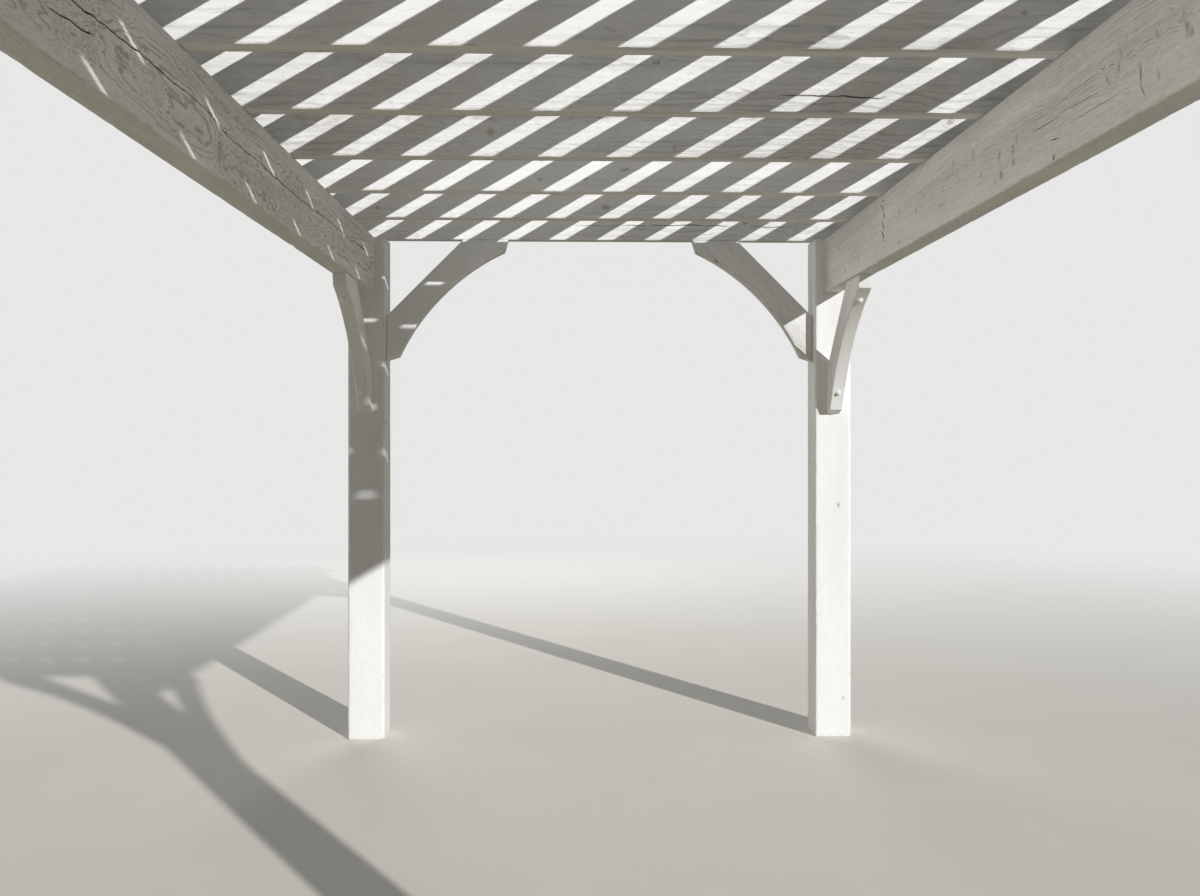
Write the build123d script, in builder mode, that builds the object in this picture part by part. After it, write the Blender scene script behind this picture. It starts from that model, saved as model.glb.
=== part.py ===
# Pergola of rough-sawn timber: four square posts, two long beams, cross rafters with coved tails,
# slats that run lengthways over them, and two curved knee braces at each post.
# The origin is on the ground at the centre of the plan. X runs across, Y along and Z up.

from build123d import *
import os

os.makedirs("parts", exist_ok=True)

# Posts, by the spacing of their centres
post_width = 200
post_height = 2740
posts_across = 2560
posts_along = 5310

# Beams, level with the post tops and butted between the posts
beam_width = 98
beam_depth = 294

# Rafters, laid on the beams with the end ones centred on the posts
rafter_count = 10
rafter_width = 70
rafter_depth = 200
rafter_tail = 450

# Cove under each rafter tail: an upright nib at the tip, then a hollow arc to the underside
tail_nib = 55
tail_cove = 280
tail_cove_bow = 60

# Slats, laid flat over the rafters
slat_count = 13
slat_width = 100
slat_height = 50
slat_tail = 235
slat_edge_to_tip = 190

# Knee braces, measured from the corner where the post meets the timber above
brace_width = 70
brace_leg = 670
brace_seat = 250
brace_nib = 66
brace_nib_slant = 21
brace_bow = 72

# Eased arrises
post_ease = 6
beam_ease = 5
light_ease = 3

# Derived places
post_x = posts_across / 2
post_y = posts_along / 2
beam_length = posts_along - post_width
rafter_length = posts_across + post_width + 2 * rafter_tail
rafter_pitch = posts_along / (rafter_count - 1)
rafter_top = post_height + rafter_depth
slat_length = posts_along + rafter_width + 2 * slat_tail
slat_pitch = (rafter_length - 2 * slat_edge_to_tip - slat_width) / (slat_count - 1)
beam_underside = post_height - beam_depth
ends = {"front": -1, "back": 1}
sides = {"left": -1, "right": 1}


def build_post(place_x, place_y):
    with BuildPart() as post:
        with BuildSketch(Plane.XY):
            with Locations((place_x, place_y)):
                Rectangle(post_width, post_width)
        extrude(amount=post_height)
        chamfer(post.edges().filter_by(Axis.Z), length=post_ease)
    return post


def build_beam(place_x):
    with BuildPart() as beam:
        with BuildSketch(Plane.XZ):
            with Locations((place_x, post_height)):
                Rectangle(beam_width, beam_depth, align=(Align.CENTER, Align.MAX))
        extrude(amount=beam_length / 2, both=True)
        chamfer(beam.edges().filter_by(Axis.Y), length=beam_ease)
    return beam


def build_rafter(place_y):
    tip = rafter_length / 2
    cove_end = tip - tail_cove
    nib_foot = rafter_depth - tail_nib
    with BuildPart() as rafter:
        with BuildSketch(Plane((0, place_y, post_height), x_dir=(1, 0, 0), z_dir=(0, -1, 0))):
            with BuildLine():
                Polyline((0, rafter_depth), (tip, rafter_depth), (tip, nib_foot))
                SagittaArc((cove_end, 0), (tip, nib_foot), tail_cove_bow)
                Line((cove_end, 0), (0, 0))
                mirror(about=Plane.YZ)
            make_face()
        extrude(amount=rafter_width / 2, both=True)
        broad_faces = rafter.faces().sort_by(SortBy.AREA)[-2:]
        chamfer(broad_faces.edges(), length=light_ease)
    return rafter


def build_slat(place_x):
    with BuildPart() as slat:
        with BuildSketch(Plane.XZ):
            with Locations((place_x, rafter_top)):
                Rectangle(slat_width, slat_height, align=(Align.CENTER, Align.MIN))
        extrude(amount=slat_length / 2, both=True)
        chamfer(slat.edges().filter_by(Axis.Y), length=light_ease)
    return slat


def build_brace(corner, away):
    # The brace lies in the upright plane that holds the direction away from the post
    foot = brace_leg - brace_nib_slant
    back = brace_leg - brace_seat
    across = Vector(*away).cross(Vector(0, 0, 1))
    with BuildPart() as brace:
        with BuildSketch(Plane(corner, x_dir=away, z_dir=across)):
            with BuildLine():
                Polyline((foot, -brace_nib), (brace_leg, 0), (back, 0))
                Polyline((back, 0), (0, -back), (0, -brace_leg))
                Line((0, -brace_leg), (brace_nib, -foot))
                SagittaArc((brace_nib, -foot), (foot, -brace_nib), brace_bow)
            make_face()
        extrude(amount=brace_width / 2, both=True)
        broad_faces = brace.faces().sort_by(SortBy.AREA)[-2:]
        chamfer(broad_faces.edges(), length=light_ease)
    return brace


# Posts and their two braces each
for end, along in ends.items():
    for side, across in sides.items():
        post = build_post(across * post_x, along * post_y)
        post.part.label = f"post_{end}_{side}"
        export_step(post.part, f"parts/post_{end}_{side}.step")

        cross_corner = (across * (post_x - post_width / 2), along * post_y, post_height)
        cross_brace = build_brace(cross_corner, (-across, 0, 0))
        cross_brace.part.label = f"cross_brace_{end}_{side}"
        export_step(cross_brace.part, f"parts/cross_brace_{end}_{side}.step")

        long_corner = (across * post_x, along * (post_y - post_width / 2), beam_underside)
        long_brace = build_brace(long_corner, (0, -along, 0))
        long_brace.part.label = f"long_brace_{end}_{side}"
        export_step(long_brace.part, f"parts/long_brace_{end}_{side}.step")

# Beams
for side, across in sides.items():
    beam = build_beam(across * post_x)
    beam.part.label = f"beam_{side}"
    export_step(beam.part, f"parts/beam_{side}.step")

# Rafters, counted from the front
for number in range(rafter_count):
    rafter = build_rafter(number * rafter_pitch - post_y)
    rafter.part.label = f"rafter_{number + 1:02d}"
    export_step(rafter.part, f"parts/rafter_{number + 1:02d}.step")

# Slats, counted from the left
for number in range(slat_count):
    slat = build_slat((number - (slat_count - 1) / 2) * slat_pitch)
    slat.part.label = f"slat_{number + 1:02d}"
    export_step(slat.part, f"parts/slat_{number + 1:02d}.step")
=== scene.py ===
import bpy
import bmesh
import math
import random
from mathutils import Matrix, Vector, noise


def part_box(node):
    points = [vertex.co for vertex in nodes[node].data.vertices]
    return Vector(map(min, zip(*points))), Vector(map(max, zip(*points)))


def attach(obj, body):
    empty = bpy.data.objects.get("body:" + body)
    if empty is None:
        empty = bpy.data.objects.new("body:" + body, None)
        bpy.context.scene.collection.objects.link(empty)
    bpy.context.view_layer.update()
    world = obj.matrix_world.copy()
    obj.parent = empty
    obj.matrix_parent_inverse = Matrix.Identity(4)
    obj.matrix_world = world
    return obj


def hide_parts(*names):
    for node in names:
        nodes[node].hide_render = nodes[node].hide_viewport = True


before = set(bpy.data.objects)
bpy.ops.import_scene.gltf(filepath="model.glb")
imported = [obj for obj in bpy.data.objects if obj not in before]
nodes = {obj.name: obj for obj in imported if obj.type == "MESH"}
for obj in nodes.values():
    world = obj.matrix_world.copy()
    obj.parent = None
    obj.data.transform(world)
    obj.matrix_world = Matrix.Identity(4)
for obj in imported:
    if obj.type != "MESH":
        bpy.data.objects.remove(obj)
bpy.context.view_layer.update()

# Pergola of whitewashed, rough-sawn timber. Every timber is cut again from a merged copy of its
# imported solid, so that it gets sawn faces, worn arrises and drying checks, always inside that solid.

scene = bpy.context.scene


# Small helpers for node trees

def addNode(tree, kind, inputs=None, **settings):
    node = tree.nodes.new("ShaderNode" + kind)
    for name, value in settings.items():
        setattr(node, name, value)
    for name, value in (inputs or {}).items():
        if isinstance(value, bpy.types.NodeSocket):
            tree.links.new(value, node.inputs[name])
        else:
            node.inputs[name].default_value = value
    return node


def calc(tree, operation, first, second=0.0, third=0.0, clamp=False):
    inputs = {0: first, 1: second, 2: third}
    return addNode(tree, "Math", inputs, operation=operation, use_clamp=clamp).outputs[0]


def times(tree, product, *factors, clamp=False):
    for factor in factors:
        product = calc(tree, "MULTIPLY", product, factor, clamp=clamp)
    return product


def timesPlus(tree, first, second, added, clamp=False):
    return calc(tree, "MULTIPLY_ADD", first, second, added, clamp)


def vectorMath(tree, operation, *vectors):
    node = addNode(tree, "VectorMath", dict(enumerate(vectors)), operation=operation)
    return node.outputs["Value" if operation in ("LENGTH", "DOT_PRODUCT") else "Vector"]


def ramp(tree, factor, stops, interpolation="LINEAR"):
    node = addNode(tree, "ValToRGB", {"Fac": factor})
    band = node.color_ramp
    band.interpolation = interpolation
    while len(band.elements) < len(stops):
        band.elements.new(0.5)
    for element, (place, shade) in zip(band.elements, stops):
        element.position = place
        element.color = (shade, shade, shade, 1)
    return node.outputs["Color"]


def fade(tree, factor, start, end, low=0, high=1, interpolation="LINEAR"):
    return ramp(tree, factor, ((start, low), (end, high)), interpolation)


def blend(tree, factor, first, second):
    # in a Mix node 0 is the factor, 6 and 7 are its two colours and output 2 is the mixed one
    first, second = ((*colour, 1) if isinstance(colour, tuple) else colour for colour in (first, second))
    return addNode(tree, "Mix", {0: factor, 6: first, 7: second}, data_type="RGBA").outputs[2]


def cloud(tree, vector, scale, detail=2.0, roughness=0.5):
    inputs = {"Vector": vectorMath(tree, "MULTIPLY", vector, scale), "Scale": 1.0, "Detail": detail,
              "Roughness": roughness}
    return addNode(tree, "TexNoise", inputs).outputs


def patches(tree, vector, scale, detail, roughness, start, end, low=0, high=1):
    # a cloud cut into patches, which show more and more from one level of the cloud to the other
    return fade(tree, cloud(tree, vector, scale, detail, roughness)["Fac"], start, end, low, high)


def newMaterial(name):
    material = bpy.data.materials.new(name)
    material.use_nodes = True
    return material, material.node_tree


def coatShader(tree, colour, roughness, height, look):
    bump = addNode(tree, "Bump", {"Height": height, "Strength": look["bump"], "Distance": look["bumpDepth"]})
    shader = tree.nodes["Principled BSDF"].inputs
    tree.links.new(colour, shader["Base Color"])
    tree.links.new(roughness, shader["Roughness"])
    tree.links.new(bump.outputs["Normal"], shader["Normal"])


# Whitewashed timber

whitewash = {
    "paint": (0.84, 0.836, 0.832), "paintThin": (0.745, 0.739, 0.722),
    "latewood": (0.36, 0.333, 0.29), "fibre": (0.45, 0.43, 0.395), "weathered": (0.33, 0.325, 0.32),
    "speck": (0.17, 0.15, 0.125), "knotHalo": (0.52, 0.46, 0.37), "knotHeart": (0.28, 0.22, 0.165),
    # bark is also the near-black of the painted shade inside drying checks and bark pockets
    "spike": (0.36, 0.27, 0.20), "bark": (0.07, 0.055, 0.045), "bareWood": (0.47, 0.42, 0.345),
    "sawPitch": 0.0065,
    # the marks that lie over the paint, lowest first, each with its colour and how strongly it shows; opened
    # paints near-black shade inside the drying checks and the bark pockets, where the pockets' bark is dark
    # as well
    "layers": (
        ("thin", "paintThin", 1), ("mottled", "fibre", 1), ("stained", "latewood", 1),
        ("greyLines", "weathered", 0.34), ("fibre", "fibre", 0.20), ("saw", "fibre", 0.07),
        ("greyed", "weathered", 0.75), ("openPores", "speck", 0.40), ("dots", "speck", 0.50),
        ("hair", "speck", 0.50), ("halo", "knotHalo", 0.20), ("heart", "knotHeart", 1),
        ("barkRing", "bark", 0.62), ("eye", "speck", 0.40), ("crazed", "bark", 0.65),
        ("spike", "spike", 0.72), ("opened", "bark", 1), ("rubbed", "bareWood", 0.5)),
    # how far each mark stands up from the face, where 1 is the bump's depth, or sinks into it below 0
    "relief": {"grain": 0.80, "fibre": -0.30, "saw": 0.18, "combed": 0.45, "fuzz": 0.5, "mottle": 0.7,
               "pores": -0.5, "hair": -0.8, "spike": 0.5, "barkRing": -0.9, "crazed": -0.9, "opened": -2.2},
    "bump": 0.75, "bumpDepth": 0.0016,
    "roughness": 0.70, "fibreRoughness": 0.12, "patchRoughness": 0.14, "specular": 0.3,
}
timberInputs = {
    "Vector": ("Plank", "Pith", "Band"),
    "Float": ("Ring gap", "Knots", "Spikes", "Whorls", "Bark", "Grain", "Curl", "Weather", "Arris", "Split"),
}
timberOutputs = {"Color": ("Colour",), "Float": ("Roughness", "Height")}
noBand = (0, 10, 1)  # for timbers whose grain is as strong all over


def bendGrain(tree, given):
    # the grain wanders slowly along the timber, wobbles a little across it and curls in places
    plank = given["Plank"]
    drifting = cloud(tree, plank, (1.1, 5, 5), 1.5)
    wobble = cloud(tree, plank, (7, 24, 24), 1.0)["Color"]
    curly = cloud(tree, plank, (20, 44, 44), 3.0, 0.55)["Color"]
    curlBy = patches(tree, plank, (2.0, 9, 9), 1.0, 0.5, 0.47, 0.60, 0.10)
    curlBy = times(tree, curlBy, given["Curl"])
    curlBy = addNode(tree, "CombineXYZ", {"Y": curlBy, "Z": curlBy}).outputs[0]
    bent = vectorMath(tree, "MULTIPLY_ADD", drifting["Color"], (0, 0.085, 0.085), plank)
    bent = vectorMath(tree, "MULTIPLY_ADD", wobble, (0, 0.011, 0.011), bent)
    return vectorMath(tree, "MULTIPLY_ADD", curly, curlBy, bent), drifting["Fac"]


def cutRings(tree, given, bent, uneasy):
    # late wood of the growth rings, which run round the pith at uneven distances
    fromPith = vectorMath(tree, "SUBTRACT", bent, given["Pith"])
    radius = vectorMath(tree, "LENGTH", vectorMath(tree, "MULTIPLY", fromPith, (0, 1, 1)))
    rings = calc(tree, "DIVIDE", radius, given["Ring gap"])
    uneven = addNode(tree, "TexNoise", {"W": rings, "Scale": 0.31, "Detail": 1.0}, noise_dimensions="1D")
    rings = timesPlus(tree, uneven.outputs["Fac"], 2.4, rings)
    # they flow round each knot, and turn right across the timber in a whorl
    for name, strength, reach, ruffle in (("Knots", 1.6, -0.30, 1.2), ("Spikes", 1.5, -0.20, 0.9),
                                          ("Whorls", 5.5, -0.35, 2.2)):
        away = timesPlus(tree, uneasy, ruffle, given[name])
        push = calc(tree, "EXPONENT", times(tree, away, away, reach))
        rings = timesPlus(tree, push, strength, rings)
    band = calc(tree, "FRACT", rings)
    return ramp(tree, band, ((0.0, 0.0), (0.66, 0.03), (0.80, 0.85), (0.87, 1.0), (0.94, 0.3), (1.0, 0.0)))


def drawSawLines(tree, plank, pitch):
    # the saw leaves faint lines across the face, strong in some places only
    skewed = vectorMath(tree, "DOT_PRODUCT", plank, (1, 0.12, 0.09))
    skewed = addNode(tree, "CombineXYZ", {"X": skewed}).outputs[0]
    vector = vectorMath(tree, "ADD", vectorMath(tree, "MULTIPLY", plank, (0.0, 0.3, 0.3)), skewed)
    inputs = {"Vector": vector, "Scale": 2 * math.pi / 20 / pitch, "Distortion": 5.0, "Detail": 3.0,
              "Detail Scale": 1.3}
    waves = addNode(tree, "TexWave", inputs, wave_type="BANDS", bands_direction="X", wave_profile="SIN")
    places = patches(tree, plank, (2.3, 6, 6), 2.0, 0.5, 0.40, 0.62, 0.12)
    return times(tree, waves.outputs["Fac"], places)


def markFace(tree, given, bent, look):
    # smooth timbers are plainer in everything, and show the saw's lines instead
    plank = given["Plank"]
    loud = timesPlus(tree, given["Grain"], 0.85, 0.15, clamp=True)
    sawBy = calc(tree, "SUBTRACT", 1.2, given["Grain"], clamp=True)
    patch = cloud(tree, plank, (1.7, 8, 8), 3.0)["Fac"]
    mottle = cloud(tree, plank, (34, 90, 90), 3.0, 0.65)["Fac"]
    fuzz = cloud(tree, plank, (150, 420, 420), 3.0, 0.7)["Fac"]
    combed = cloud(tree, plank, (360, 70, 70), 3.0, 0.6)["Fac"]
    fibres = patches(tree, bent, (8, 230, 230), 4.0, 0.62, 0.42, 0.72)
    pores = patches(tree, plank, (26, 420, 420), 2.0, 0.5, 0.66, 0.74)
    return {
        "patch": patch, "fibres": fibres, "pores": pores, "mottling": mottle,
        "thin": times(tree, fade(tree, patch, 0.34, 0.70), loud),
        "mottled": times(tree, fade(tree, mottle, 0.36, 0.72, 0, 0.30), loud),
        "mottle": times(tree, mottle, loud), "fibre": times(tree, fibres, loud),
        "fuzz": times(tree, fuzz, loud), "openPores": times(tree, pores, loud),
        "saw": times(tree, drawSawLines(tree, plank, look["sawPitch"]), sawBy),
        "combed": times(tree, combed, sawBy),
    }


def markGrain(tree, given, bent, drift, late, marks):
    grainPlaces = fade(tree, marks["patch"], 0.34, 0.60, 0.30)
    strands = patches(tree, bent, (14, 170, 170), 3.0, 0.6, 0.38, 0.56, 0.22)
    # on some timbers the grain is strong in one band only: its middle, half width and what is left outside
    band = addNode(tree, "SeparateXYZ", {0: given["Band"]}).outputs
    across = addNode(tree, "SeparateXYZ", {0: given["Plank"]}).outputs["Y"]
    across = calc(tree, "ADD", across, timesPlus(tree, drift, 0.10, -0.05))
    outside = calc(tree, "ABSOLUTE", calc(tree, "SUBTRACT", across, band["X"]))
    outside = fade(tree, calc(tree, "DIVIDE", outside, band["Y"]), 0.60, 1.0, 0, 1, "EASE")
    bandBy = timesPlus(tree, outside, calc(tree, "SUBTRACT", band["Z"], 1.0), 1.0)
    grainBy = times(tree, given["Grain"], bandBy)
    marks["grain"] = times(tree, times(tree, late, grainPlaces, grainBy, clamp=True), strands)
    marks["stained"] = times(tree, marks["grain"], timesPlus(tree, grainBy, 0.13, 0.36))


def markWeather(tree, given, bent, late, marks):
    plank, weather = given["Plank"], given["Weather"]
    dots = patches(tree, plank, (75, 190, 190), 2.0, 0.6, 0.68, 0.73)
    dotPlaces = patches(tree, plank, (2.4, 9, 9), 2.0, 0.5, 0.50, 0.62)
    # short hairline checks lie along the grain where the timber has dried fastest
    hair = patches(tree, bent, (6, 200, 200), 2.0, 0.5, 0.64, 0.69)
    dried = patches(tree, plank, (2.6, 17, 17), 2.0, 0.5, 0.57, 0.66)
    # the weather has greyed the wood in long streaks, and some of the late wood
    streaks = patches(tree, plank, (0.9, 30, 30), 3.0, 0.6, 0.50, 0.66)
    greyBand = patches(tree, plank, (0.7, 11, 11), 2.0, 0.5, 0.50, 0.64)
    marks["dots"] = times(tree, dots, dotPlaces, weather)
    marks["hair"] = times(tree, hair, dried, weather)
    marks["greyed"] = times(tree, streaks, weather, timesPlus(tree, marks["fibres"], 0.55, 0.3))
    marks["greyLines"] = times(tree, greyBand, late, weather)


def markKnots(tree, given, uneasy, marks):
    # knots: a warm halo where the sap bleeds through, a darker heart and a broken bark ring
    plank = given["Plank"]
    ragged = cloud(tree, plank, (85, 110, 110), 3.0, 0.6)["Fac"]
    size = timesPlus(tree, ragged, 1.3, calc(tree, "SUBTRACT", given["Knots"], 0.65))
    heart = fade(tree, size, 0.72, 1.0, 1, 0)
    ring = ramp(tree, calc(tree, "DIVIDE", size, 2.0, clamp=True), ((0.41, 0.0), (0.47, 1.0), (0.53, 0.0)))
    halo = calc(tree, "DIVIDE", size, 3.0, clamp=True)
    marks["halo"] = fade(tree, halo, 0.22, 0.75, 1, 0, "EASE")
    marks["heart"] = times(tree, heart, timesPlus(tree, marks["mottling"], 0.5, -0.04))
    marks["barkRing"] = times(tree, ring, fade(tree, ragged, 0.38, 0.50))
    marks["eye"] = fade(tree, size, 0.10, 0.42, 1, 0)
    crazing = calc(tree, "SUBTRACT", cloud(tree, plank, (75, 75, 75), 1.0)["Fac"], 0.5)
    crazing = times(tree, calc(tree, "ABSOLUTE", crazing), 10.0)
    marks["crazed"] = times(tree, fade(tree, crazing, 0.15, 0.45, 1, 0), heart)
    # spike knots, cut along their length, are brown smears that run across the timber
    smear = patches(tree, plank, (150, 24, 24), 3.0, 0.6, 0.36, 0.56, 0.15)
    spike = fade(tree, timesPlus(tree, uneasy, 2.2, given["Spikes"]), 0.35, 1.0, 1, 0, "EASE")
    marks["spike"] = times(tree, spike, smear)
    # bark pockets and drying checks get near-black painted shade inside, on top of the pockets' own dark
    # bark, and worn arrises show bare wood
    pocket = timesPlus(tree, ragged, 1.1, calc(tree, "SUBTRACT", given["Bark"], 0.55))
    pocket = fade(tree, pocket, 0.55, 0.85, 1, 0)
    marks["opened"] = calc(tree, "MAXIMUM", pocket, fade(tree, given["Split"], 0.06, 0.42))
    rubbed = patches(tree, plank, (11, 40, 40), 3.0, 0.6, 0.52, 0.68)
    marks["rubbed"] = times(tree, rubbed, given["Arris"])


def makeTimberGroup(look):
    tree = bpy.data.node_groups.new("whitewashed sawn timber", "ShaderNodeTree")
    for inOut, sockets in (("INPUT", timberInputs), ("OUTPUT", timberOutputs)):
        for kind, names in sockets.items():
            for name in names:
                tree.interface.new_socket(name=name, in_out=inOut, socket_type="NodeSocket" + kind)
    given = tree.nodes.new("NodeGroupInput").outputs
    bent, drift = bendGrain(tree, given)
    uneasy = calc(tree, "SUBTRACT", cloud(tree, given["Plank"], (28, 50, 50), 2.0)["Fac"], 0.5)
    late = cutRings(tree, given, bent, uneasy)
    marks = markFace(tree, given, bent, look)
    markGrain(tree, given, bent, drift, late, marks)
    markWeather(tree, given, bent, late, marks)
    markKnots(tree, given, uneasy, marks)

    colour = look["paint"]
    for mark, shade, strength in look["layers"]:
        colour = blend(tree, times(tree, marks[mark], strength), colour, look[shade])
    height = 0.0
    for mark, strength in look["relief"].items():
        height = timesPlus(tree, marks[mark], strength, height)
    rough = timesPlus(tree, marks["fibres"], look["fibreRoughness"], look["roughness"])
    rough = timesPlus(tree, marks["patch"], look["patchRoughness"], rough)
    out = tree.nodes.new("NodeGroupOutput").inputs
    for name, value in (("Colour", colour), ("Roughness", rough), ("Height", height)):
        tree.links.new(value, out[name])
    return tree


timberGroup = makeTimberGroup(whitewash)


def knotShape(along, across, tilt, halfLong, halfWide, through=0.0, turn=0.0):
    # tilt turns a knot on the timber's broad face, turn takes it round the timber to another face
    return (along, across, through), math.radians(turn), math.radians(tilt), halfLong, halfWide


def nearestOf(tree, plank, knots, farAway=4.0, endless=1000.0, melting=0.1):
    # how far each point is from the nearest knot, where 1 is that knot's own edge, at any depth
    nearest = None
    for knot in knots:
        place, turn, tilt, halfLong, halfWide = knotShape(*knot)
        ball = addNode(tree, "TexGradient", {"Vector": plank}, gradient_type="SPHERICAL")
        ball.texture_mapping.vector_type = "TEXTURE"
        ball.texture_mapping.translation = place
        ball.texture_mapping.rotation = (turn, 0, tilt)
        ball.texture_mapping.scale = (halfLong * farAway, halfWide * farAway, endless)
        near = ball.outputs["Fac"]
        nearest = near if nearest is None else calc(tree, "SMOOTH_MAX", nearest, near, melting)
    return farAway if nearest is None else timesPlus(tree, nearest, -farAway, farAway)


def timberMaterial(name, plankFrame, look):
    material, tree = newMaterial(name)
    inputs = {"Vector": addNode(tree, "TexCoord").outputs["Object"], "Location": plankFrame.to_translation(),
              "Rotation": plankFrame.to_euler()}
    plank = addNode(tree, "Mapping", inputs, vector_type="TEXTURE").outputs[0]
    inputs = {"Plank": plank, "Pith": (0, *look["pith"]), "Band": look.get("band", noBand),
              "Ring gap": look["ringGap"]}
    for socket in ("Grain", "Curl", "Weather"):
        inputs[socket] = look[socket.lower()]
    for socket in ("Knots", "Spikes", "Whorls", "Bark"):
        inputs[socket] = nearestOf(tree, plank, look.get(socket.lower(), ()))
    # Arris marks the worn arrises, and Split how much painted shade each check's sunk middle takes
    for socket in ("Arris", "Split"):
        inputs[socket] = addNode(tree, "Attribute", attribute_name=socket.lower()).outputs["Fac"]
    timber = addNode(tree, "Group", inputs, node_tree=timberGroup).outputs
    coatShader(tree, timber["Colour"], timber["Roughness"], timber["Height"], whitewash)
    tree.nodes["Principled BSDF"].inputs["Specular IOR Level"].default_value = whitewash["specular"]
    return material


# Cutting a timber again from its solid

# axes lie along and across the timber, cell is how long and wide the sawn face's squares are, sway how far
# its faces wander, torn how deep the saw tore the grain, wear how far an arris is knocked back, ease how far
# the solid's own arrises are cut back, rests which faces bear on other timbers
sawing = {
    "post": {"axes": ((0, 0, 1), (1, 0, 0)), "cell": (0.014, 0.0125), "sway": 0.0012, "torn": 0.0006,
             "wear": 0.0030, "ease": 0.006, "rests": ((1, 0, 0), (-1, 0, 0))},
    "beam": {"axes": ((0, 1, 0), (0, 0, 1)), "cell": (0.013, 0.0120), "sway": 0.0016, "torn": 0.0009,
             "wear": 0.0022, "ease": 0.005, "rests": ((0, 1, 0), (1, 0, 0), (-1, 0, 0))},
    "rafter": {"axes": ((1, 0, 0), (0, 0, 1)), "cell": (0.016, 0.0145), "sway": 0.0012, "torn": 0.0007,
               "wear": 0.0026, "ease": 0.003, "rests": ((0, 1, 0), (0, -1, 0)),
               "tail": 0.283, "tailCut": 0.272},  # the length over its cove, and how much of it is cut
    "slat": {"axes": ((0, 1, 0), (-1, 0, 0)), "cell": (0.020, 0.0140), "sway": 0.0009, "torn": 0.0006,
             "wear": 0.0018, "ease": 0.003, "rests": ((0, 0, -1),)},
    "brace": {"cell": (0.012, 0.0120), "sway": 0.0006, "torn": 0.0003, "wear": 0.0014, "ease": 0.003,
              "rests": ((0.707, 0.707, 0), (-0.707, 0.707, 0))},
}

# bevel is the new arrises' share of the ease, edge, braceEdge and tailEdge how far the first squares start
# from the solid's own arris, from a brace's tips and from the end of a rafter's cove, and the last three
# how near and how square a point or a face has to be to count as part of a side
cutting = {
    "bevel": 0.3, "edge": 0.0035, "braceEdge": 0.006, "tailEdge": 0.0015,
    "merge": 0.00005, "level": 0.5, "joined": 8, "square": 80,  # how the solid's triangles become faces
    "arrisFrom": 18, "sharpFrom": 38,  # degrees between two faces
    "onFace": 0.0001, "facing": 0.99, "bearing": 0.9,
}

# noise at so many waves a metre along, across and through the timber wears its faces and arrises
wearing = {
    "swayWaves": (1.3, 5, 5), "tornWaves": (9, 38, 38), "tornBy": 1.6,
    "bruiseWaves": (6, 3, 3), "bruiseBy": 0.35, "nickWaves": (27, 9, 9), "nickFrom": 0.22, "nickBy": 1.5,
    "knotReach": 3, "rim": 0.0011, "rimAt": 1.25, "rimWidth": 0.55, "dish": 0.0016, "dishWidth": 0.6,
    "knotRoom": 0.0006,  # cut off everywhere, so that the rim of a knot stays inside the solid
    "spikeSpared": 0.9, "restWorn": 0.2, "chipStretch": 0.4, "seedSteps": (7.31, 3.17, 5.71),
    "arrisSlant": (0.2, 0.97), "arrisArea": 0.001,  # an arris is a slanting face smaller than this
}

# what every drying check has, unless its own values say otherwise: it pulls at the face around it, jogs
# along the grain and opens unevenly, in waves of so many a metre, a place in the noise and a strength
checking = {
    # the sunk middle of a check is given near-black painted shade, more of it the wider the check opens
    "side": 1, "lip": 0.0014, "open": 0.48, "paintedCheckShade": 1.8, "pull": (0.012, 0.085),
    "jogs": ((9, 0, 0.005), (27, 5, 0.0048)), "uneven": ((3.1, 9, 1.1), (13, 2, 0.7)),
    "bank": 0.0095, "clear": 0.011,  # where lines run beside it, and how near it no others do
    "closed": 0.10, "middle": 0.2, "lips": 1.2,  # shares of the lip
}


def plankFrameOf(nodeName):
    # x runs along the timber, y across its broad face and z through it
    low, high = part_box(nodeName)
    middle = (low + high) / 2
    kind = nodeName.split("_")[0]
    if kind in sawing:
        along, across = (Vector(axis) for axis in sawing[kind]["axes"])
    else:
        away = Vector((-1 if middle.x > 0 else 1, 0, 0))
        if kind == "long":
            away = Vector((0, 1 if "front" in nodeName else -1, 0))
        up = Vector((0, 0, 1))
        along, across = (away + up).normalized(), (up - away).normalized()
    through = along.cross(across)
    turned = Matrix((along, across, through)).transposed().to_4x4()
    return Matrix.Translation(middle) @ turned


def mergedCopy(nodeName, plankFrame):
    bm = bmesh.new()
    bm.from_mesh(nodes[nodeName].data)
    bmesh.ops.transform(bm, matrix=plankFrame.inverted(), verts=bm.verts)
    level, joined, square = (math.radians(cutting[name]) for name in ("level", "joined", "square"))
    bmesh.ops.remove_doubles(bm, verts=bm.verts, dist=cutting["merge"])
    bmesh.ops.dissolve_limit(bm, angle_limit=level, use_dissolve_boundaries=False,
                             verts=bm.verts, edges=bm.edges)
    bmesh.ops.join_triangles(bm, faces=[f for f in bm.faces if len(f.verts) == 3],
                             angle_face_threshold=joined, angle_shape_threshold=square)
    return bm


def isSharp(edge, degrees):
    return edge.is_manifold and edge.calc_face_angle() > math.radians(degrees)


def softenArrises(bm, width):
    sharp = [e for e in bm.edges if isSharp(e, cutting["arrisFrom"])]
    bmesh.ops.bevel(bm, geom=sharp, offset=width, offset_type="OFFSET", affect="EDGES", segments=1,
                    profile=0.5, material=-1, clamp_overlap=True)


def evenPlaces(low, high, cell):
    count = max(1, round((high - low) / cell))
    return [low + (high - low) * i / count for i in range(count + 1)]


def cutAcross(bm, axis, places, faces=None):
    normal = Vector((0, 0, 0))
    normal[axis] = 1
    for place in places:
        if faces is None:
            geom = bm.verts[:] + bm.edges[:] + bm.faces[:]
        else:
            chosen = [f for f in bm.faces if faces(f)]
            edges = {e for f in chosen for e in f.edges}
            geom = chosen + list(edges) + list({v for f in chosen for v in f.verts})
        bmesh.ops.bisect_plane(bm, geom=geom, dist=0.000002, plane_co=normal * place, plane_no=normal)


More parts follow.
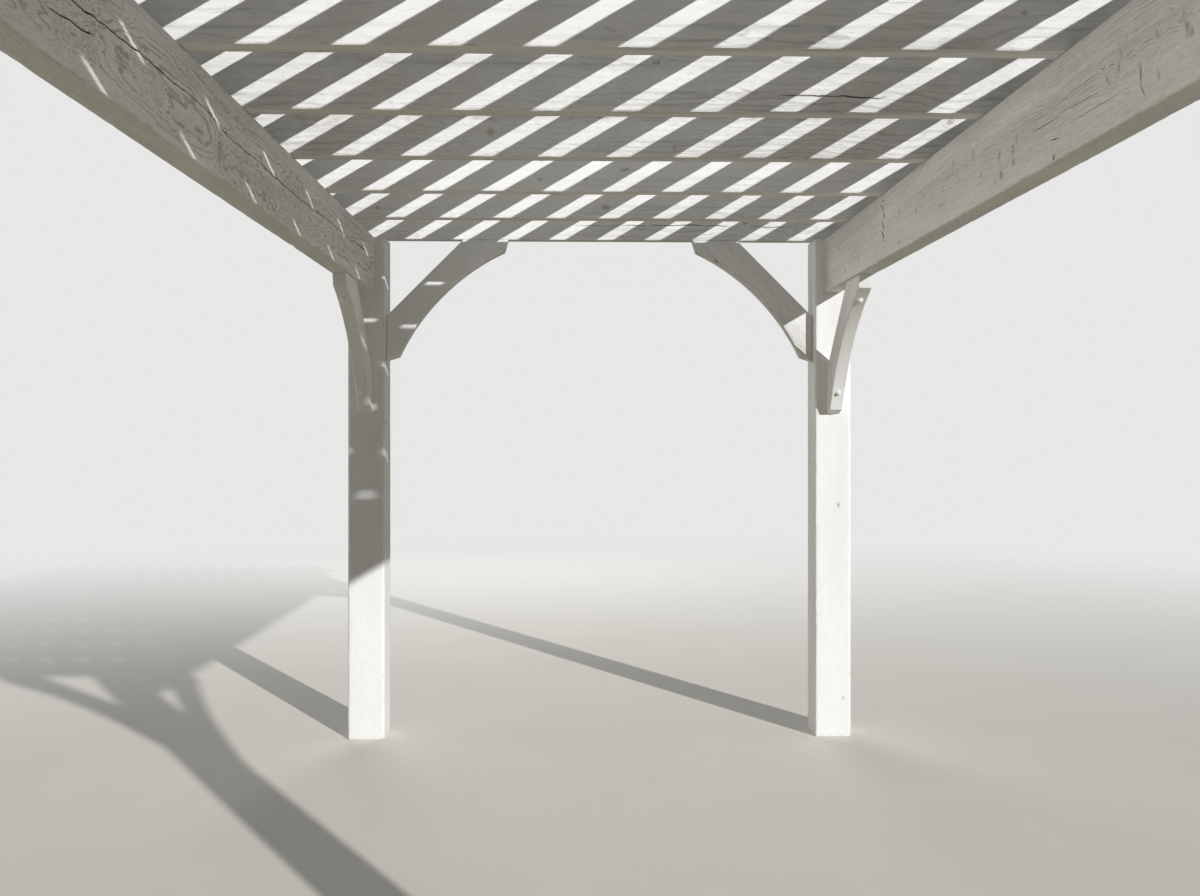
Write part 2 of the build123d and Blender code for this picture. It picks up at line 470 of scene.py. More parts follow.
def smoothStep(low, high, value):
    t = min(1.0, max(0.0, (value - low) / (high - low)))
    return t * t * (3 - 2 * t)


def waver(along, seed, waves):
    return sum(noise.noise(Vector((along * rate, seed, part))) * strength for rate, part, strength in waves)


def pathAt(points, along):
    # the path of a check runs level at each of its points and swings smoothly from one to the next
    for (start, here), (end, there) in zip(points, points[1:]):
        if start <= along <= end:
            return here + (there - here) * smoothStep(start, end, along)
    return points[0][1] if along < points[0][0] else points[-1][1]


def splitRow(bm, split, faceAt):
    # the vertices of the face that a check opens, with how far each lies from its middle line
    onFace = [v for v in bm.verts if abs(v.co.z - split["side"] * faceAt) < cutting["onFace"]]
    return [(v, v.co.y - split["across"]) for v in onFace]


def openSplit(bm, split, row, seed):
    # a drying check: its middle line sinks, its two lips part, and all of them follow the grain
    side, lip, path, taper = split["side"], split["lip"], split["path"], split["taper"]
    paintedCheckShade = bm.verts.layers.float["split"]
    start, end = path[0][0], path[-1][0]
    for v, offset in row:
        along = v.co.x
        reach = 1 - smoothStep(*split["pull"], abs(offset))
        if reach <= 0:
            continue
        drifted = (pathAt(path, along) + waver(along, seed, split["jogs"])) * reach
        opened = smoothStep(start, start + taper, along) * (1 - smoothStep(end - taper, end, along))
        opened *= min(1.0, max(0.0, split["open"] + waver(along, seed, split["uneven"])))
        v.co.y += drifted
        if abs(offset) < lip * split["middle"]:
            v.co.z -= side * split["depth"] * opened
            # the sunk middle line takes painted shade, as much as the check has opened
            v[paintedCheckShade] = min(1.0, opened * split["paintedCheckShade"])
        elif abs(offset) < lip * split["lips"]:
            closed = split["closed"]
            v.co.y += math.copysign(lip * (closed + (1 - closed) * opened), offset) - offset


def awayFrom(point, shape):
    # how far a point is from a knot, where 1 is the knot's own edge
    (along, across, through), turn, _, halfLong, halfWide = shape
    wide = (point.y - across) * math.cos(turn) + (point.z - through) * math.sin(turn)
    return math.hypot((point.x - along) / halfLong, wide / halfWide)


def knotRise(point, knots):
    # each knot stands a little proud round its rim and is dished in the middle
    rise = 0.0
    for knot in knots:
        away = awayFrom(point, knot)
        if away < wearing["knotReach"]:
            rise += wearing["rim"] * math.exp(-((away - wearing["rimAt"]) / wearing["rimWidth"]) ** 2)
            rise -= wearing["dish"] * math.exp(-(away / wearing["dishWidth"]) ** 2)
    return rise


def markArrises(bm):
    # the arrises are the small faces that slant between a broad face and the timber's edge
    arris = bm.verts.layers.float["arris"]
    flat, steep = wearing["arrisSlant"]
    for face in bm.faces:
        if flat < abs(face.normal.z) < steep and face.calc_area() < wearing["arrisArea"]:
            for v in face.verts:
                v[arris] = 1.0


def weatherFaces(bm, saw, look, seed):
    knots, spikes = ([knotShape(*knot) for knot in look.get(name, ())] for name in ("knots", "spikes"))
    bm.normal_update()
    markArrises(bm)
    arris = bm.verts.layers.float["arris"]
    drawn = Vector(seed * step for step in wearing["seedSteps"])
    rests = [Vector(rest) for rest in saw["rests"]]

    def noiseAt(point, waves):
        return noise.noise(Vector(c * w for c, w in zip(point, waves)) + drawn)

    moved = []
    for v in bm.verts:
        p = v.co
        sway = 0.5 + 0.5 * noiseAt(p, wearing["swayWaves"])
        torn = max(0.0, noiseAt(p, wearing["tornWaves"]))
        depth = saw["sway"] * sway + saw["torn"] * torn * wearing["tornBy"]
        depth += wearing["knotRoom"] - min(wearing["knotRoom"], knotRise(p, knots))
        for spike in spikes:
            depth *= 1 - wearing["spikeSpared"] * math.exp(-awayFrom(p, spike) ** 2)
        if any(v.normal.dot(rest) > cutting["bearing"] for rest in rests):
            depth *= wearing["restWorn"]
        if v[arris] > 0.5:
            bruise = 0.5 + 0.5 * noiseAt(p, wearing["bruiseWaves"])
            nick = max(0.0, noiseAt(p, wearing["nickWaves"]) - wearing["nickFrom"])
            depth += saw["wear"] * (wearing["bruiseBy"] * bruise + wearing["nickBy"] * nick)
        for place, reach, sunk in look.get("chips", ()):
            apart = p - Vector(place)
            gap = math.hypot(apart.x * wearing["chipStretch"], apart.y, apart.z) / reach
            if gap < 1:
                depth += sunk * (1 - gap * gap) ** 2
        moved.append(p - v.normal * depth)
    for v, place in zip(bm.verts, moved):
        v.co = place


def smoothShade(bm, sharpFrom):
    for face in bm.faces:
        face.smooth = True
    for edge in bm.edges:
        edge.smooth = not isSharp(edge, sharpFrom)


def cutCells(bm, kind, splits, low, high):
    # lays the lines of the sawn face's squares, and closer lines beside each drying check
    saw = sawing[kind]
    hold = saw["ease"] + cutting["edge"]
    cellAlong, cellAcross = saw["cell"]
    cutAcross(bm, 2, evenPlaces(low.z + hold, high.z - hold, cellAcross))
    places = evenPlaces(low.y + hold, high.y - hold, cellAcross)
    if kind == "brace":
        tip = cutting["braceEdge"]
        cutAcross(bm, 0, evenPlaces(low.x + tip, high.x - tip, cellAlong))
        cutAcross(bm, 1, places)
        return
    cutAcross(bm, 1, [p for p in places if all(abs(p - s["across"]) > s["clear"] for s in splits)])
    for split in splits:
        side, lip, bank = split["side"], split["lip"], split["bank"]
        lines = [split["across"] + line for line in (-bank, -lip, 0.0, lip, bank)]
        cutAcross(bm, 1, lines, lambda f: f.normal.z * side > cutting["facing"])
    straight = high.x - saw.get("tail", 0.0)
    if "tail" in saw:
        for end in (-1, 1):
            steps = evenPlaces(0, saw["tailCut"], cellAlong)
            cutAcross(bm, 0, [end * (straight + cutting["tailEdge"] + step) for step in steps])
    longEdges = [e for e in bm.edges if e.calc_length() > 1.0]
    bmesh.ops.subdivide_edges(bm, edges=longEdges, cuts=round(2 * straight / cellAlong), use_grid_fill=True)


def cutTimber(nodeName, plankFrame, kind, look, seed):
    saw = sawing[kind]
    splits = [{**checking, **split} for split in look.get("splits", ())]
    bm = mergedCopy(nodeName, plankFrame)
    low, high = (Vector(pick(v.co[axis] for v in bm.verts) for axis in range(3)) for pick in (min, max))
    softenArrises(bm, saw["ease"] * cutting["bevel"])
    cutCells(bm, kind, splits, low, high)
    bm.verts.layers.float.new("arris")
    # the split layer holds the painted shade of each check's sunk middle
    bm.verts.layers.float.new("split")
    rows = [splitRow(bm, split, high.z) for split in splits]
    for number, split in enumerate(splits):
        openSplit(bm, split, rows[number], seed + number)
    weatherFaces(bm, saw, look, seed)
    bmesh.ops.transform(bm, matrix=plankFrame, verts=bm.verts)
    bm.normal_update()
    smoothShade(bm, cutting["sharpFrom"])
    return bm


def addObject(name, data):
    made = bpy.data.objects.new(name, data)
    scene.collection.objects.link(made)
    return made


def addMesh(name, bm, material):
    mesh = bpy.data.meshes.new(name)
    bm.to_mesh(mesh)
    bm.free()
    mesh.materials.append(material)
    return addObject(name, mesh)


def addPiece(name, bm, material, replaced=None):
    piece = addMesh(name, bm, material)
    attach(piece, "root")
    if replaced:
        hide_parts(replaced)


def dressTimber(nodeName, kind, seed, look):
    plankFrame = plankFrameOf(nodeName)
    bm = cutTimber(nodeName, plankFrame, kind, look, seed)
    material = timberMaterial("timber " + nodeName, plankFrame, look)
    addPiece("sawn_" + nodeName, bm, material, nodeName)


def nodesOf(kind):
    return sorted(name for name in nodes if kind in name)


# What is drawn at random for each timber

pinKnots = {"size": (0.005, 0.013), "tilt": 25, "stretch": (1.1, 1.9)}


def stray(rng, reach):
    return rng.uniform(-reach, reach)


def drawKnots(rng, count, halfLength, halfWidth):
    # a few small knots on the broad faces
    drawn = []
    for _ in range(count):
        size = rng.uniform(*pinKnots["size"])
        place = stray(rng, halfLength), stray(rng, halfWidth)
        tilt = stray(rng, pinKnots["tilt"])
        drawn.append((*place, tilt, size * rng.uniform(*pinKnots["stretch"]), size))
    return drawn


def drawPith(rng, reach, near, far):
    # reach is how far up or down it may lie, near and far how far through the timber, on either side
    return stray(rng, reach), rng.choice((-1, 1)) * rng.uniform(near, far)


def drawLook(rng, kind):
    # everything under "drawn", in its order: the pith's place, knots, and shares of the kind's own values
    look = {**kind}
    for name, limits in kind["drawn"].items():
        if name == "pith":
            look[name] = drawPith(rng, *limits)
        elif name == "knots":
            look[name] = drawKnots(rng, *limits)
        else:
            look[name] = kind[name] * rng.uniform(*limits)
    return look


# Posts

posts = {
    "seed": 11, "noiseSeed": 3.0,
    "ringGap": 0.0065, "grain": 0.16, "curl": 0.002, "weather": 0.08, "pithSpread": 0.02,
    "knotCount": 2, "knotSize": (0.006, 0.011), "knotLength": 1.4, "knotTurn": 14, "knotReach": 0.05,
    "knotHeights": (-1.25, 1.3),
    "check": {"spread": 0.02, "lip": 0.0016, "depth": 0.006, "taper": 0.25, "start": -0.9,
              "startSpread": 0.2, "path": ((0.1, 0.006), (0.85, -0.004))},
}


def makePosts():
    rng = random.Random(posts["seed"])
    for number, name in enumerate(nodesOf("post")):
        knots = []
        for _ in range(posts["knotCount"]):
            turn = rng.choice((0, 90, 180, 270)) + stray(rng, posts["knotTurn"])
            size = rng.uniform(*posts["knotSize"])
            reach = posts["knotReach"]
            knots.append((rng.uniform(*posts["knotHeights"]), stray(rng, reach), 0,
                          size * posts["knotLength"], size, stray(rng, reach), turn))
        check = posts["check"]
        across = stray(rng, check["spread"])
        start = check["start"] + stray(rng, check["startSpread"])
        split = {**check, "side": -1 if "front" in name else 1, "across": across,
                 "path": ((start, 0.0), *check["path"])}
        pith = [rng.uniform(-1, 1) * posts["pithSpread"] for _ in range(2)]
        look = {**posts, "pith": pith, "knots": knots, "splits": (split,)}
        dressTimber(name, "post", posts["noiseSeed"] + number, look)


# Beams

beamNoiseSeed = 11.0

# knots, spikes, whorls and bark are (along, across, tilt, half length, half width) on the broad faces, chips
# are (place, reach, depth), and a check's path is (along, how far aside of its own line)
beams = {
    "beam_left": {
        "pith": (0.012, -0.16), "ringGap": 0.0084, "grain": 3.6, "curl": 0.026, "weather": 0.4,
        "band": (-0.01, 0.13, 0.22),
        "knots": (
            (-1.45, 0.050, 20, 0.016, 0.012), (0.62, 0.078, 0, 0.009, 0.010),
            (-2.0, -0.060, 0, 0.020, 0.014)),
        "spikes": ((0.003, -0.074, 6, 0.018, 0.046), (1.55, -0.040, -6, 0.010, 0.030)),
        "whorls": (
            (-0.95, -0.051, 10, 0.051, 0.043), (-0.543, -0.022, -15, 0.053, 0.021),
            (0.196, 0.003, 5, 0.057, 0.017), (0.521, -0.056, 0, 0.068, 0.010),
            (0.886, -0.041, 10, 0.080, 0.038), (-1.75, 0.02, 0, 0.070, 0.050)),
        "chips": (
            ((0.05, 0.147, 0.049), 0.030, 0.006), ((0.60, 0.147, 0.049), 0.018, 0.004),
            ((-1.3, -0.147, 0.049), 0.020, 0.003), ((1.2, -0.147, -0.049), 0.02, 0.004)),
        "splits": ({"across": 0.008, "depth": 0.008, "taper": 0.35, "open": 1.05,
                    "path": ((-2.45, -0.008), (-0.95, -0.004), (-0.49, 0.010), (-0.12, 0.013),
                             (0.08, -0.010), (0.36, -0.007), (0.87, -0.012), (1.81, 0.006), (2.40, 0.010))},
                   {"across": -0.042, "lip": 0.0011, "depth": 0.005, "taper": 0.08, "open": 1.6,
                    "path": ((-1.08, -0.008), (-0.95, 0.005), (-0.84, 0.012))},
                   {"side": -1, "across": -0.03, "depth": 0.006, "taper": 0.5,
                    "path": ((-1.6, 0.01), (0.2, -0.01), (1.5, 0.008))}),
    },
    "beam_right": {
        "pith": (-0.11, -0.17), "ringGap": 0.0062, "grain": 1.6, "curl": 0.003, "weather": 0.3,
        "band": (0.10, 0.16, 0.30),
        "knots": ((0.12, -0.094, 0, 0.012, 0.012), (-0.26, -0.132, 0, 0.007, 0.007)),
        "spikes": (
            (-0.631, 0.010, 16, 0.009, 0.036), (-0.570, -0.013, -35, 0.007, 0.030),
            (-0.812, -0.085, -14, 0.008, 0.024), (-0.807, 0.014, -30, 0.007, 0.013),
            (-0.928, -0.006, -30, 0.014, 0.045), (-0.735, -0.060, -10, 0.007, 0.040),
            (0.358, 0.032, 5, 0.013, 0.027), (0.425, 0.008, 15, 0.007, 0.022),
            (0.288, -0.055, -8, 0.005, 0.026), (0.555, 0.048, 4, 0.006, 0.040),
            (-0.004, -0.013, -10, 0.009, 0.016), (0.025, -0.037, 12, 0.014, 0.026),
            (0.020, -0.077, 0, 0.014, 0.017), (0.132, -0.029, 20, 0.016, 0.022),
            (0.165, -0.103, 0, 0.008, 0.020), (0.979, -0.027, 8, 0.011, 0.026),
            (1.201, 0.005, -6, 0.008, 0.027), (1.201, -0.113, 0, 0.012, 0.016),
            (1.843, -0.090, 5, 0.009, 0.024), (2.244, 0.038, 0, 0.009, 0.014),
            (2.112, -0.096, -8, 0.009, 0.027)),
        "whorls": ((0.12, -0.085, 0, 0.030, 0.024),),
        "bark": (
            (1.440, 0.112, 0, 0.008, 0.008), (1.468, 0.096, 0, 0.010, 0.007),
            (1.446, 0.080, 30, 0.007, 0.017), (1.436, 0.058, 0, 0.007, 0.015),
            (1.426, 0.040, 0, 0.013, 0.010), (1.444, 0.016, 0, 0.006, 0.017),
            (1.437, -0.004, 0, 0.008, 0.012), (1.452, -0.030, 0, 0.010, 0.012),
            (1.435, -0.046, 0, 0.013, 0.010), (1.440, -0.063, 0, 0.007, 0.010),
            (-0.26, -0.137, 0, 0.006, 0.008), (-0.266, -0.084, 8, 0.039, 0.0022),
            (-0.203, -0.025, 2, 0.120, 0.0013), (0.68, -0.067, 2, 0.060, 0.0013),
            (-0.428, -0.026, 3, 0.125, 0.0011), (-0.508, -0.066, 0.6, 0.200, 0.0009),
            (-0.733, -0.047, 20, 0.0018, 0.021), (-0.740, -0.094, -29, 0.0016, 0.030)),
        "chips": (((0.9, 0.147, -0.049), 0.02, 0.003), ((-0.4, -0.147, -0.049), 0.018, 0.0025)),
        "splits": ({"across": 0.02, "lip": 0.0016, "depth": 0.007, "taper": 0.5,
                    "path": ((-2.2, 0.0), (-0.3, 0.012), (1.9, -0.01))},),
    },
}


def makeBeams():
    for number, (name, beam) in enumerate(beams.items()):
        dressTimber(name, "beam", beamNoiseSeed + number, beam)


# Rafters

rafters = {
    "seed": 23, "noiseSeed": 21.0, "ringGap": 0.0085, "weather": 0.6, "grain": 0.55, "curl": 0.004,
    "drawn": {"pith": (0.09, 0.05, 0.13), "grain": (0.7, 1.2), "weather": (0.6, 1.2), "ringGap": (0.8, 1.25),
              "knots": (1, 1.4, 0.075)},
}

# what is known of some of them, such as streaky late wood low on the sixth and seventh
rafterLooks = {
    "rafter_05": {"pith": (-0.02, -0.10), "grain": 0.3, "weather": 0.9},
    "rafter_06": {
        "pith": (0.085, -0.05), "ringGap": 0.0105, "grain": 0.85, "weather": 0.8,
        "band": (-0.07, 0.06, 0.25),
        "splits": ({"across": -0.030, "depth": 0.005, "taper": 0.12,
                    "path": ((0.36, 0.016), (0.50, -0.012), (0.92, -0.018))},)},
    "rafter_07": {
        "pith": (0.10, -0.04), "ringGap": 0.0098, "grain": 0.95, "weather": 0.8,
        "knots": ((-0.470, -0.006, 20, 0.015, 0.013), (0.244, -0.061, 15, 0.008, 0.008))},
    "rafter_08": {
        "pith": (0.02, 0.13), "ringGap": 0.011, "grain": 0.3, "weather": 0.35,
        "knots": ((-0.298, -0.048, -15, 0.010, 0.006), (0.078, -0.002, 5, 0.020, 0.006))},
    "rafter_09": {
        "pith": (-0.09, -0.05), "ringGap": 0.009, "grain": 0.6, "weather": 0.6,
        "knots": ((0.009, -0.044, -12, 0.020, 0.011),),
        "splits": ({"across": 0.060, "depth": 0.005, "taper": 0.3,
                    "path": ((-1.2, 0.004), (-0.5, -0.004), (0.1, 0.002))},)},
    "rafter_10": {
        "pith": (0.05, -0.09), "ringGap": 0.009, "grain": 0.6, "weather": 0.7,
        "knots": ((0.802, -0.002, 0, 0.012, 0.010),), "whorls": ((-0.897, -0.097, 0, 0.034, 0.026),),
        "splits": ({"across": -0.022, "depth": 0.004, "taper": 0.4,
                    "path": ((-0.2, 0.0), (0.4, 0.006), (1.3, -0.004))},)},
}


def makeRafters():
    rng = random.Random(rafters["seed"])
    for number, name in enumerate(nodesOf("rafter")):
        drawn, known = drawLook(rng, rafters), rafterLooks.get(name, {})
        look = {**drawn, **known, "knots": [*known.get("knots", ()), *drawn["knots"]]}
        dressTimber(name, "rafter", rafters["noiseSeed"] + number, look)


# Slats

slats = {
    "seed": 37, "noiseSeed": 41.0, "ringGap": 0.0065, "weather": 0.9, "grain": 0.55, "curl": 0.003,
    "drawn": {"knots": (2, 2.6, 0.035), "pith": (0.04, 0.03, 0.10), "ringGap": (0.8, 1.25),
              "grain": (0.7, 1.1), "weather": (0.6, 1.1)},
}


def makeSlats():
    rng = random.Random(slats["seed"])
    for number, name in enumerate(nodesOf("slat")):
        dressTimber(name, "slat", slats["noiseSeed"] + number, drawLook(rng, slats))


# Knee braces and their lag heads

braces = {
    "seed": 53, "noiseSeed": 61.0, "ringGap": 0.0055, "weather": 0.12, "grain": 0.24, "curl": 0.003,
    "drawn": {"knots": (1, 0.3, 0.03), "pith": (0.12, 0.05, 0.16), "ringGap": (0.85, 1.2),
              "grain": (0.6, 1.2)},
    "streaky": {"cross_brace_back_right": {"grain": 1.0, "weather": 0.5}},
}


def makeBraces():
    rng = random.Random(braces["seed"])
    for number, name in enumerate(nodesOf("brace")):
        look = {**drawLook(rng, braces), **braces["streaky"].get(name, {})}
        dressTimber(name, "brace", braces["noiseSeed"] + number, look)


lagHead = {
    "seed": 71, "taper": 0.98, "rimFrom": 40,
    "washer": {"radius": 0.0128, "height": 0.0046, "foot": -0.0016, "sides": 28, "round": 0.0013,
               "steps": 2},
    "hexagon": {"radius": 0.0088, "height": 0.0042, "foot": 0.0028, "sides": 6, "round": 0.0018, "steps": 3},
    "scale": {"long": (1.15, 1.15, 1.9), "cross": (0.72, 0.72, 0.3)},  # those of the cross braces are let in
    "fromMiddle": 0.314,  # along the brace, either way from its middle
    "curveRadius": 1.216, "curveCrown": 0.072,  # the hollow face of the brace
    "chordFromMiddle": -0.0318,  # how far the ends of that hollow lie outside the middle of the brace's box
    "paint": (0.80, 0.79, 0.76), "scuffed": (0.62, 0.605, 0.57), "rust": (0.36, 0.27, 0.20),
    "roughness": 0.40, "brushRoughness": 0.3, "bump": 0.5, "bumpDepth": 0.0006,
}


def lagMaterial(look):
    material, tree = newMaterial("painted lag heads")
    place = addNode(tree, "TexCoord").outputs["Object"]
    brushed = cloud(tree, place, (240, 240, 160), 3.0, 0.6)["Fac"]
    blotches = patches(tree, place, (90, 90, 90), 2.0, 0.5, 0.66, 0.78, 0, 0.5)
    colour = blend(tree, fade(tree, brushed, 0.45, 0.75, 0, 0.6), look["paint"], look["scuffed"])
    colour = blend(tree, blotches, colour, look["rust"])
    rough = timesPlus(tree, brushed, look["brushRoughness"], look["roughness"])
    coatShader(tree, colour, rough, brushed, look)
    return material


def appendTo(bm, part, matrix):
    # adds a copy of part to bm, in its place
    mesh = bpy.data.meshes.new("part")
    part.to_mesh(mesh)
    mesh.transform(matrix)
    bm.from_mesh(mesh)
    bpy.data.meshes.remove(mesh)


def makeLagHead():
    # a washer under a hexagon head, with its corners drowned in paint
    bm = bmesh.new()
    for disc in (lagHead["washer"], lagHead["hexagon"]):
        part = bmesh.new()
        bmesh.ops.create_cone(part, cap_ends=True, segments=disc["sides"], radius1=disc["radius"],
                              radius2=disc["radius"] * lagHead["taper"], depth=disc["height"])
        bmesh.ops.translate(part, verts=part.verts, vec=(0, 0, disc["foot"] + disc["height"] / 2))
        rims = [e for e in part.edges if isSharp(e, lagHead["rimFrom"])]
        bmesh.ops.bevel(part, geom=rims, offset=disc["round"], affect="EDGES", segments=disc["steps"],
                        profile=0.5, material=-1)
        appendTo(bm, part, Matrix.Identity(4))
        part.free()
    return bm


def makeLagHeads():
    material = lagMaterial(lagHead)
    rng = random.Random(lagHead["seed"])
    head = makeLagHead()
    for name in nodesOf("brace"):
        plankFrame = plankFrameOf(name)
        scale = Matrix.Diagonal((*lagHead["scale"][name.split("_")[0]], 1))
        bm = bmesh.new()
        for end in (-1, 1):
            along = end * lagHead["fromMiddle"]
            drop = lagHead["curveRadius"] - math.sqrt(lagHead["curveRadius"] ** 2 - along ** 2)
            foot = Vector((along, lagHead["chordFromMiddle"] + lagHead["curveCrown"] - drop, 0))
            outward = Vector((-along, drop - lagHead["curveRadius"], 0)).normalized()
            turn = outward.to_track_quat("Z", "X").to_matrix().to_4x4()
            spin = Matrix.Rotation(rng.uniform(0, 1), 4, "Z")
            appendTo(bm, head, plankFrame @ Matrix.Translation(foot) @ turn @ spin @ scale)
        smoothShade(bm, sharpFrom=180)
        addPiece("lag_heads_" + name, bm, material)
    head.free()


# Slat screws

slatScrew = {
    "seed": 83, "radius": 0.0048, "topRadius": 0.003456, "sides": 8, "height": 0.0033,
    "sunk": 0.0013,  # from the slat's upper face to the middle of the head
    "offCentre": 0.027, "stagger": 0.012, "strayAcross": 0.003, "strayAlong": 0.004,
    "paint": (0.60, 0.59, 0.565), "scuffed": (0.38, 0.37, 0.35),
}


def makeSlatScrews():
    screw = slatScrew
    material = lagMaterial({**lagHead, "paint": screw["paint"], "scuffed": screw["scuffed"]})
    rng = random.Random(screw["seed"])
    rafterPlaces = [sum(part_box(name), Vector())[1] / 2 for name in nodesOf("rafter")]
    for name in nodesOf("slat"):
        low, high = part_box(name)
        bm = bmesh.new()
        for along in rafterPlaces:
            for side in (-1, 1):
                across = (low.x + high.x) / 2 + side * screw["offCentre"]
                across += stray(rng, screw["strayAcross"])
                place = along + side * screw["stagger"] + stray(rng, screw["strayAlong"])
                made = bmesh.ops.create_cone(bm, cap_ends=True, segments=screw["sides"],
                                             radius1=screw["radius"], radius2=screw["topRadius"],
                                             depth=screw["height"])
                bmesh.ops.translate(bm, verts=made["verts"], vec=(across, place, high.z - screw["sunk"]))
        smoothShade(bm, sharpFrom=46)
        addPiece("screws_" + name, bm, material)


# Floor, light and camera

studio = {
    "backdrop": (0.80, 0.80, 0.795), "sky": (0.86, 0.94, 1.0), "skyStrength": 0.17,
    "key": {"towards": (0.6765, -1, 0.4025), "angle": 0.62, "strength": 3.58},
}
paleFloor = {
    "reach": 60.0, "colour": (0.79, 0.755, 0.69), "mottle": (0.75, 0.715, 0.65), "roughness": 0.85,
    "fadeFrom": 3.5, "fadeTo": 14.0,  # how far out it turns into the backdrop
    "bounce": (0.98, 0.905, 0.740),  # what it throws back up at the timbers
    # less of it beyond the sides and the back, and a little less in front
    "bounceFar": (0.20, 0.187, 0.140), "middle": 0.15, "turnSides": (0.45, 1.9), "turnBack": (1.6, 3.2),
    "turnFront": (0.2, 2.4), "frontBy": 0.34,
}
softLamps = {
    # two long low ones shine up under one beam at the inside of the other
    "fill": {"place": (-14, 1.6, 0.85), "size": (5.0, 0.8), "power": 490, "aim": (1.2, 0.2, 2.5),
             "colour": (1, 0.955, 0.87)},
    "low": {"place": (14, 1.6, 0.85), "size": (4.0, 0.8), "power": 200, "aim": (-1.2, 0, 2.6),
            "colour": (1, 0.93, 0.87)},
    # a large one lights the far side of the posts and braces from behind
    "rear": {"place": (-1.5, 12, 5), "size": (6.0, 5.0), "power": 380, "aim": (0, 0, 1.6),
             "colour": (1, 1, 1)},
    # and a narrow one shines up at the far rafters
    "roof": {"place": (0.1, -6, 0.3), "size": 0.6, "power": 190, "aim": (0.1, 2.0, 2.55),
             "colour": (0.95, 0.98, 1.0), "cone": 18, "softEdge": 0.8},
}
photoView = {
    "place": (-0.147, -3.305, 1.66), "turn": -1.39, "lens": 32.1, "shift": -0.01083, "sensor": 36,
    "near": 0.05, "far": 200,
}


def share(tree, value, low, high):
    # how far the value has gone from low to high, from 0 to 1
    return calc(tree, "DIVIDE", calc(tree, "SUBTRACT", value, low), high - low, clamp=True)


def floorBounce(tree, place, look):
    placed = addNode(tree, "SeparateXYZ", {0: place}).outputs
    aside = calc(tree, "ABSOLUTE", calc(tree, "SUBTRACT", placed["X"], look["middle"]))
    sides = share(tree, aside, *look["turnSides"])
    back = share(tree, placed["Y"], *look["turnBack"])
    front = share(tree, times(tree, placed["Y"], -1.0), *look["turnFront"])
    front = times(tree, front, look["frontBy"])
    far = calc(tree, "MAXIMUM", front, calc(tree, "MAXIMUM", sides, back))
    return blend(tree, far, look["bounce"], look["bounceFar"])


def floorMaterial(look):
    # the camera sees the floor's colour, which fades into the backdrop, and the timbers get its bounce
    material, tree = newMaterial("pale floor")
    place = addNode(tree, "TexCoord").outputs["Object"]
    seen = addNode(tree, "LightPath").outputs["Is Camera Ray"]
    mottled = patches(tree, place, (1.5, 1.5, 1.5), 4.0, 0.6, 0.3, 0.7, 0, 0.6)
    colour = blend(tree, mottled, look["colour"], look["mottle"])
    shader = tree.nodes["Principled BSDF"]
    tree.links.new(blend(tree, seen, floorBounce(tree, place, look), colour), shader.inputs["Base Color"])
    shader.inputs["Roughness"].default_value = look["roughness"]
    shader.inputs["Specular IOR Level"].default_value = 0.0
    glow = addNode(tree, "Emission", {"Color": (*studio["backdrop"], 1), "Strength": 1.0})
    far = share(tree, vectorMath(tree, "LENGTH", place), look["fadeFrom"], look["fadeTo"])
    far = times(tree, fade(tree, far, 0.0, 1.0, 0, 1, "EASE"), seen)
    mix = addNode(tree, "MixShader", {0: far, 1: shader.outputs[0], 2: glow.outputs[0]})
    tree.links.new(mix.outputs[0], tree.nodes["Material Output"].inputs["Surface"])
    return material


def makeFloor():
    bm = bmesh.new()
    bmesh.ops.create_grid(bm, x_segments=8, y_segments=8, size=paleFloor["reach"])
    floor = addMesh("floor", bm, floorMaterial(paleFloor))


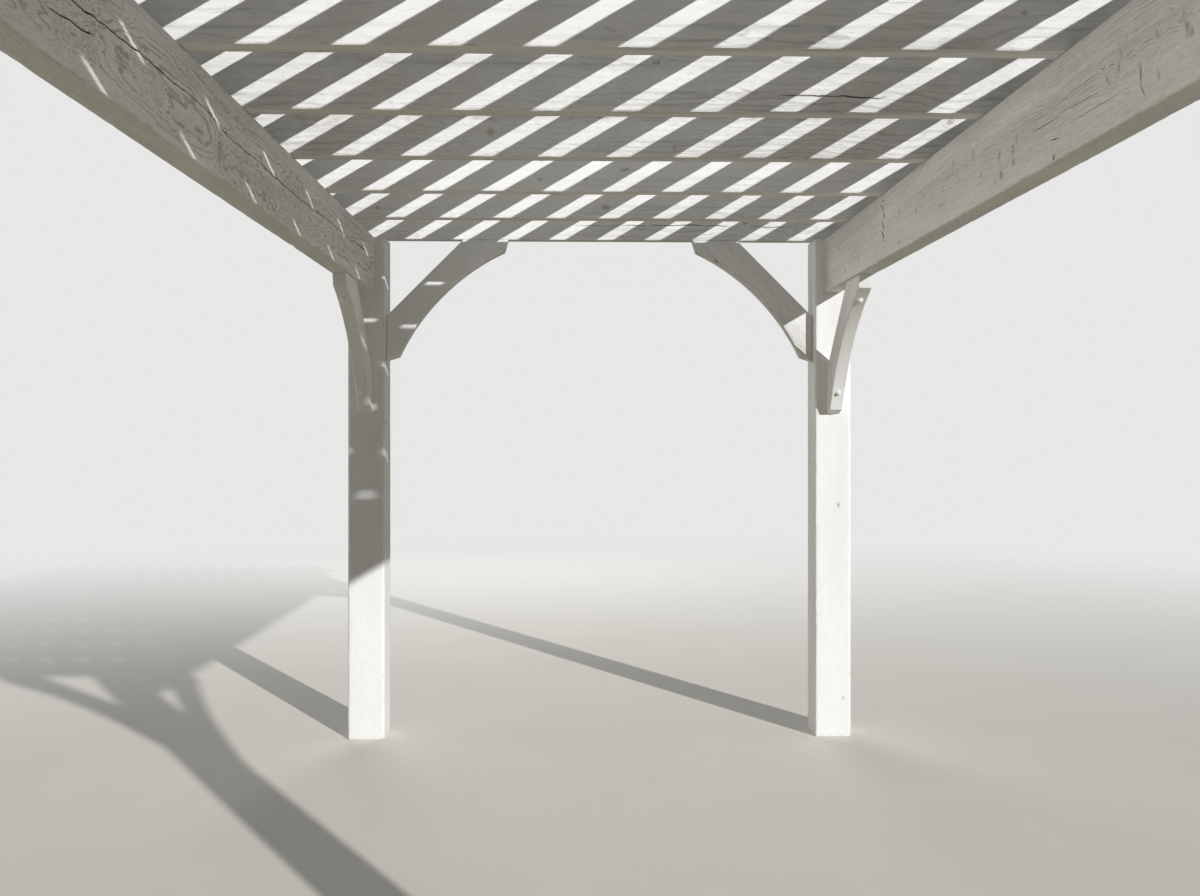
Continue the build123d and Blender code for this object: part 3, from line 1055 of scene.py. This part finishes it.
def makeWorld():
    world = bpy.data.worlds.new("studio")
    scene.world = world
    world.use_nodes = True
    tree = world.node_tree
    soft = tree.nodes["Background"]
    soft.inputs["Color"].default_value = (*studio["sky"], 1)
    soft.inputs["Strength"].default_value = studio["skyStrength"]
    backdrop = addNode(tree, "Background", {"Color": (*studio["backdrop"], 1), "Strength": 1.0})
    path = addNode(tree, "LightPath").outputs
    seen = calc(tree, "MAXIMUM", path["Is Camera Ray"], path["Is Glossy Ray"])
    mix = addNode(tree, "MixShader", {0: seen, 1: soft.outputs[0], 2: backdrop.outputs[0]})
    tree.links.new(mix.outputs[0], tree.nodes["World Output"].inputs["Surface"])


def placeLight(name, data, place, turned):
    light = addObject(name, data)
    light.location = place
    light.rotation_euler = turned.to_euler()
    return light


def makeLights():
    makeWorld()
    key = studio["key"]
    data = bpy.data.lights.new("key", "SUN")
    data.energy = key["strength"]
    data.angle = math.radians(key["angle"])
    placeLight("key", data, (0, 0, 0), Vector(key["towards"]).to_track_quat("Z", "Y"))
    for name, lamp in softLamps.items():
        if "cone" in lamp:
            data = bpy.data.lights.new(name, "SPOT")
            data.spot_size = math.radians(lamp["cone"])
            data.spot_blend = lamp["softEdge"]
            data.shadow_soft_size = lamp["size"] / 2
        else:
            data = bpy.data.lights.new(name, "AREA")
            data.shape = "RECTANGLE"
            data.size, data.size_y = lamp["size"]
        data.energy = lamp["power"]
        data.color = lamp["colour"]
        beam = Vector(lamp["aim"]) - Vector(lamp["place"])
        placeLight(name, data, lamp["place"], beam.to_track_quat("-Z", "Y")).visible_camera = False


def makeCamera():
    data = bpy.data.cameras.new("photo view")
    data.sensor_width = photoView["sensor"]
    data.lens = photoView["lens"]
    data.shift_y = photoView["shift"]
    data.clip_start = photoView["near"]
    data.clip_end = photoView["far"]
    camera = addObject("photo view", data)
    camera.location = photoView["place"]
    camera.rotation_euler = (math.radians(90), 0, math.radians(photoView["turn"]))
    scene.camera = camera


makeCamera()
makeFloor()
makeLights()
scene.view_settings.view_transform = "Standard"
print("camera, floor and lights are in")
makePosts()
print("posts are sawn")
makeBeams()
print("beams are sawn")
makeRafters()
print("rafters are sawn")
makeSlats()
print("slats are sawn")
makeBraces()
makeLagHeads()
print("braces and their lag heads are on")
makeSlatScrews()
print("slats are screwed down")
